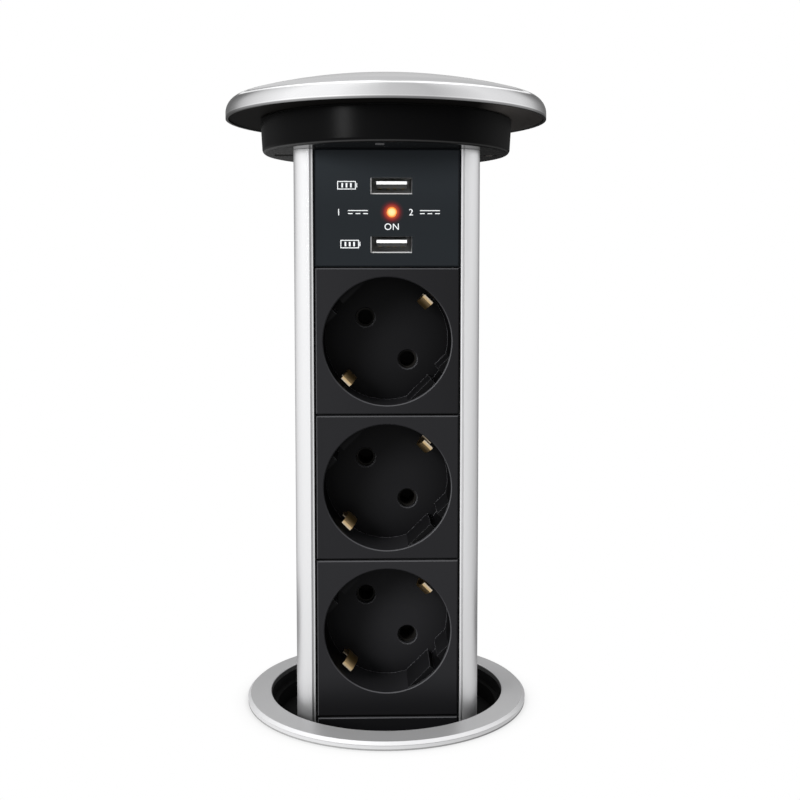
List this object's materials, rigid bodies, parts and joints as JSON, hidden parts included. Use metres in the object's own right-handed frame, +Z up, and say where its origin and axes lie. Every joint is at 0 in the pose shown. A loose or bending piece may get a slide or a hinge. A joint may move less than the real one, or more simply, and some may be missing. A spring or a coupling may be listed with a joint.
{
  "type": "pop up desk socket",
  "caption": "Round pop up tower for a desk hole, with earthed sockets turned by 45 degrees, a USB panel with a lamp, silver rails and flange, and a domed lid that closes it.",
  "frame": {"origin": "centre of the desk hole, on the desk's top face", "axes": "+Z up along the tower, sockets facing -Y, +X to the right as seen from the front"},
  "size_m": [0.1006, 0.1006, 0.424],
  "materials": {
    "flange_silver": "satin turned aluminium",
    "lid_silver": "satin silver with a bright rim",
    "rail_silver": "fine brushed anodised extrusion",
    "black_panel": "satin black moulding",
    "black_gloss": "glossy black moulding",
    "black_barrel": "fine textured black moulding",
    "rubber": "soft black rubber",
    "brass": "bright stamped brass",
    "ivory_plastic": "plain insulating moulding",
    "white_plastic": "white moulding",
    "steel": "plated steel",
    "red_lamp": "lit red lens",
    "board_green": "lacquered circuit board",
    "board_yellow": "wrapped coil and cans",
    "pad_grey": "low friction pad"
  },
  "bodies": {
    "desk_mount": {"flange_ring": "flange_silver", "flange_gasket": "rubber", "barrel": "black_barrel", "stop_ring": "black_barrel", "barrel_cap": "black_barrel", "cable_grommet": "rubber"},
    "tower": {"lid_shell": "lid_silver", "left_rail": "rail_silver", "right_rail": "rail_silver", "usb_panel": "black_panel", "socket_1": "black_panel", "socket_2": "black_panel", "socket_3": "black_panel", "foot_plate": "black_panel", "back_cover": "black_panel", "lid_collar": "black_gloss", "lid_plate": "black_gloss", "lid_clips": "black_gloss", "guide_foot": "black_barrel", "earth_strap_1": "brass", "earth_strap_2": "brass", "earth_strap_3": "brass", "pin_sleeves_1": "brass", "pin_sleeves_2": "brass", "pin_sleeves_3": "brass", "live_bar": "brass", "neutral_bar": "brass", "earth_bar": "brass", "board_leads": "brass", "contact_carrier_1": "ivory_plastic", "contact_carrier_2": "ivory_plastic", "contact_carrier_3": "ivory_plastic", "terminal_block": "ivory_plastic", "usb_tongues": "white_plastic", "usb_shell_1": "steel", "usb_shell_2": "steel", "rail_screws_top": "steel", "rail_screws_foot": "steel", "board_screws": "steel", "terminal_screws": "steel", "lamp_lens": "red_lamp", "usb_board": "board_green", "board_parts": "board_yellow", "glide_pads": "pad_grey"},
    "clamp_washer": {"clamp_washer": "steel"},
    "clamp_nut": {"clamp_nut": "black_barrel"}
  },
  "joints": [
    {"name": "tower_slide", "type": "slide", "parent": "desk_mount", "child": "tower", "axis": [0, 0, 1], "range_m": [-0.17235, 0]},
    {"name": "washer_slide", "type": "slide", "parent": "desk_mount", "child": "clamp_washer", "axis": [0, 0, 1], "range_m": [-0.035, 0.015]},
    {"name": "nut_turn", "type": "hinge", "parent": "clamp_washer", "child": "clamp_nut", "pos_m": [0, 0, 0], "axis": [0, 0, 1], "range_deg": [-3160, 1360]}
  ],
  "couplings": [
    {"joint": "nut_turn", "follows": "washer_slide", "rad_per_m": 1570.8}
  ]
}
